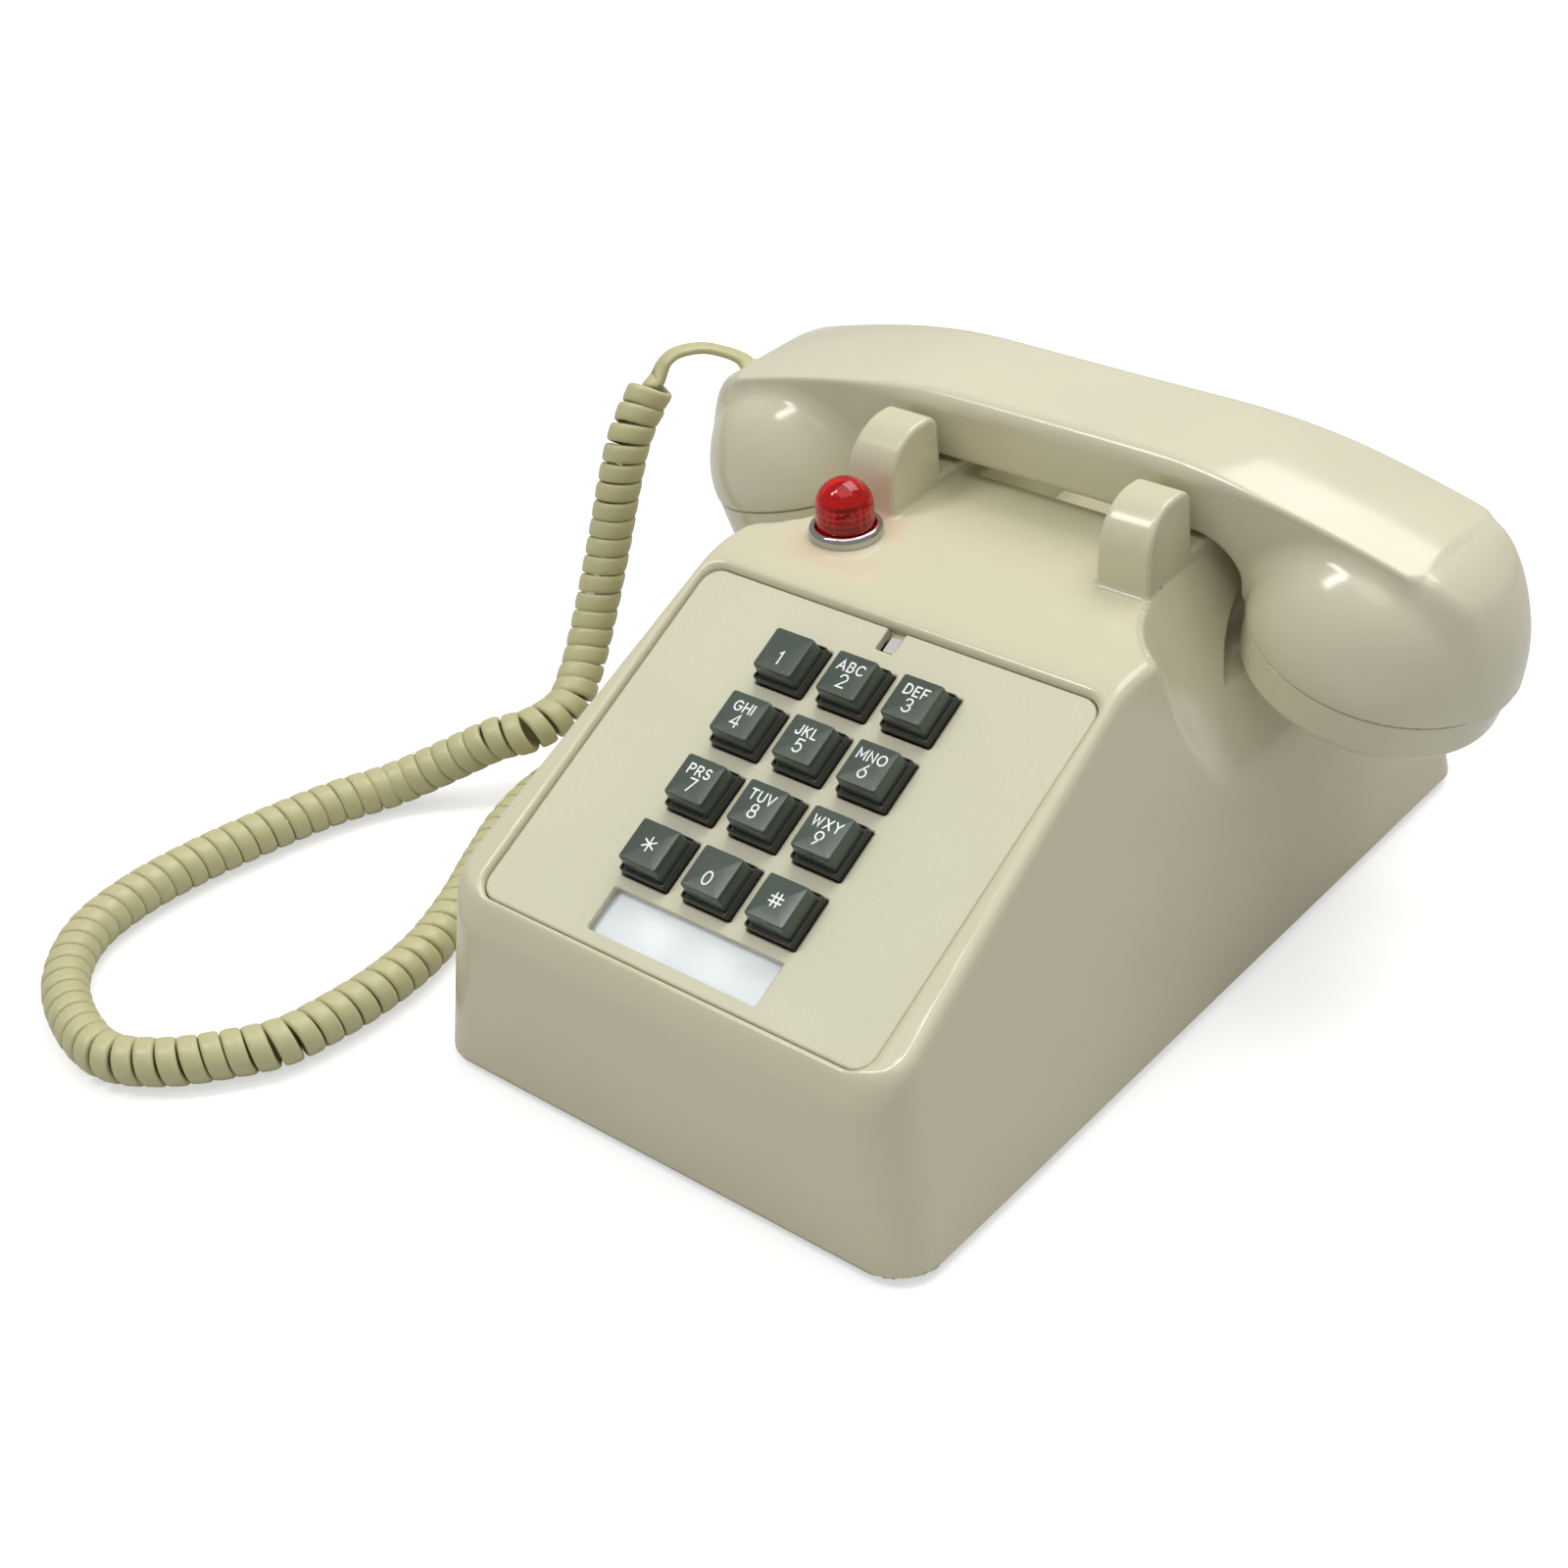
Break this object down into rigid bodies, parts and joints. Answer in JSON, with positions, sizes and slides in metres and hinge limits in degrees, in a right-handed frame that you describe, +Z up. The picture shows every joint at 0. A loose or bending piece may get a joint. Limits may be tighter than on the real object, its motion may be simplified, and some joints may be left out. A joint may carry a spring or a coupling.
{
  "type": "corded landline phone",
  "caption": "Corded push-button desk telephone with a sloped key panel, a cradle that holds its handset, a domed message lamp and a curly handset cord.",
  "frame": {"origin": "centre of the assembly's footprint box on the surface that the rubber feet stand on, measured without the handset cord", "axes": "+X towards the receiver end of the handset (right, seen from the front), +Y from the front of the set to its back, +Z up"},
  "size_m": [0.2937, 0.2929, 0.1206],
  "materials": {
    "beige_gloss": "glossy moulded beige",
    "beige_matte": "fine matt texture",
    "key_grey": "satin dark grey-green",
    "clear": "clear plastic",
    "card": "white paper card",
    "red_clear": "translucent red",
    "chrome": "polished",
    "steel": "plated sheet",
    "black_plastic": "black moulded",
    "rubber": "soft black",
    "ivory_plastic": "natural nylon",
    "board_green": "circuit board",
    "brass": "spun",
    "copper_wire": "lacquered copper winding",
    "bulb": "clear bulb",
    "phenolic": "brown phenolic",
    "cord": "yellow-green beige vinyl"
  },
  "bodies": {
    "base": {"housing": "beige_gloss", "base_plate": "steel", "rubber_feet": "rubber", "base_screws": "steel", "faceplate": "beige_matte", "faceplate_latch": "clear", "card_window": "clear", "number_card": "card", "lamp_bezel": "chrome", "lamp_lens": "red_clear", "lamp_socket": "black_plastic", "lamp_bulb": "bulb", "lamp_nut": "steel", "keypad_frame": "ivory_plastic", "keypad_board": "board_green", "keypad_screws": "steel", "hook_bracket": "steel", "hook_contacts": "phenolic", "network_block": "steel", "network_terminals": "phenolic", "ringer_frame": "steel", "ringer_coil": "copper_wire", "gong_high": "brass", "gong_low": "brass", "gong_screws": "steel", "handset_jack": "black_plastic", "line_jack": "black_plastic", "coil_cord": "cord", "cord_tail": "cord", "cord_plug": "clear"},
    "handset": {"handset_shell": "beige_gloss", "transmitter_cap": "beige_gloss", "receiver_cap": "beige_gloss", "transmitter_unit": "steel", "receiver_unit": "black_plastic", "cord_grommet": "cord", "cord_lead": "cord"},
    "clapper": {"clapper": "steel"},
    "hook_lever": {"hook_lever": "steel"},
    "key_0": {"key_0": "key_grey"},
    "key_1": {"key_1": "key_grey"},
    "key_2": {"key_2": "key_grey"},
    "key_3": {"key_3": "key_grey"},
    "key_4": {"key_4": "key_grey"},
    "key_5": {"key_5": "key_grey"},
    "key_6": {"key_6": "key_grey"},
    "key_7": {"key_7": "key_grey"},
    "key_8": {"key_8": "key_grey"},
    "key_9": {"key_9": "key_grey"},
    "key_hash": {"key_hash": "key_grey"},
    "key_star": {"key_star": "key_grey"},
    "plunger_left": {"plunger_left": "ivory_plastic"},
    "plunger_right": {"plunger_right": "ivory_plastic"},
    "volume_wheel": {"volume_wheel": "ivory_plastic"}
  },
  "joints": [
    {"name": "key_1_press", "type": "slide", "parent": "base", "child": "key_1", "axis": [0, 0.4407, -0.8976], "range_m": [0, 0.003], "stiffness_N_per_m": 200, "springref_m": -0.0015},
    {"name": "key_2_press", "type": "slide", "parent": "base", "child": "key_2", "axis": [0, 0.4407, -0.8976], "range_m": [0, 0.003], "stiffness_N_per_m": 200, "springref_m": -0.0015},
    {"name": "key_3_press", "type": "slide", "parent": "base", "child": "key_3", "axis": [0, 0.4407, -0.8976], "range_m": [0, 0.003], "stiffness_N_per_m": 200, "springref_m": -0.0015},
    {"name": "key_4_press", "type": "slide", "parent": "base", "child": "key_4", "axis": [0, 0.4407, -0.8976], "range_m": [0, 0.003], "stiffness_N_per_m": 200, "springref_m": -0.0015},
    {"name": "key_5_press", "type": "slide", "parent": "base", "child": "key_5", "axis": [0, 0.4407, -0.8976], "range_m": [0, 0.003], "stiffness_N_per_m": 200, "springref_m": -0.0015},
    {"name": "key_6_press", "type": "slide", "parent": "base", "child": "key_6", "axis": [0, 0.4407, -0.8976], "range_m": [0, 0.003], "stiffness_N_per_m": 200, "springref_m": -0.0015},
    {"name": "key_7_press", "type": "slide", "parent": "base", "child": "key_7", "axis": [0, 0.4407, -0.8976], "range_m": [0, 0.003], "stiffness_N_per_m": 200, "springref_m": -0.0015},
    {"name": "key_8_press", "type": "slide", "parent": "base", "child": "key_8", "axis": [0, 0.4407, -0.8976], "range_m": [0, 0.003], "stiffness_N_per_m": 200, "springref_m": -0.0015},
    {"name": "key_9_press", "type": "slide", "parent": "base", "child": "key_9", "axis": [0, 0.4407, -0.8976], "range_m": [0, 0.003], "stiffness_N_per_m": 200, "springref_m": -0.0015},
    {"name": "key_star_press", "type": "slide", "parent": "base", "child": "key_star", "axis": [0, 0.4407, -0.8976], "range_m": [0, 0.003], "stiffness_N_per_m": 200, "springref_m": -0.0015},
    {"name": "key_0_press", "type": "slide", "parent": "base", "child": "key_0", "axis": [0, 0.4407, -0.8976], "range_m": [0, 0.003], "stiffness_N_per_m": 200, "springref_m": -0.0015},
    {"name": "key_hash_press", "type": "slide", "parent": "base", "child": "key_hash", "axis": [0, 0.4407, -0.8976], "range_m": [0, 0.003], "stiffness_N_per_m": 200, "springref_m": -0.0015},
    {"name": "handset_lift", "type": "slide", "parent": "base", "child": "handset", "axis": [0, 0, 1], "range_m": [0, 0.08]},
    {"name": "plunger_left_slide", "type": "slide", "parent": "base", "child": "plunger_left", "axis": [0, 0, 1], "range_m": [0, 0.005]},
    {"name": "plunger_right_slide", "type": "slide", "parent": "base", "child": "plunger_right", "axis": [0, 0, 1], "range_m": [0, 0.005]},
    {"name": "hook_lever_rock", "type": "hinge", "parent": "base", "child": "hook_lever", "pos_m": [0, 0.023, 0.0805], "axis": [1, 0, 0], "range_deg": [0, 8.2]},
    {"name": "clapper_swing", "type": "hinge", "parent": "base", "child": "clapper", "pos_m": [0, 0.056, 0.005], "axis": [0, 0, 1], "range_deg": [-3, 3], "stiffness_Nm_per_rad": 0.01},
    {"name": "volume_wheel_turn", "type": "hinge", "parent": "base", "child": "volume_wheel", "pos_m": [0.047, 0.058, 0.0103], "axis": [1, 0, 0], "range_deg": [0, 120]}
  ],
  "couplings": [
    {"joint": "plunger_left_slide", "follows": "handset_lift", "ratio": 0.0625},
    {"joint": "plunger_right_slide", "follows": "handset_lift", "ratio": 0.0625},
    {"joint": "hook_lever_rock", "follows": "handset_lift", "rad_per_m": 1.78}
  ]
}
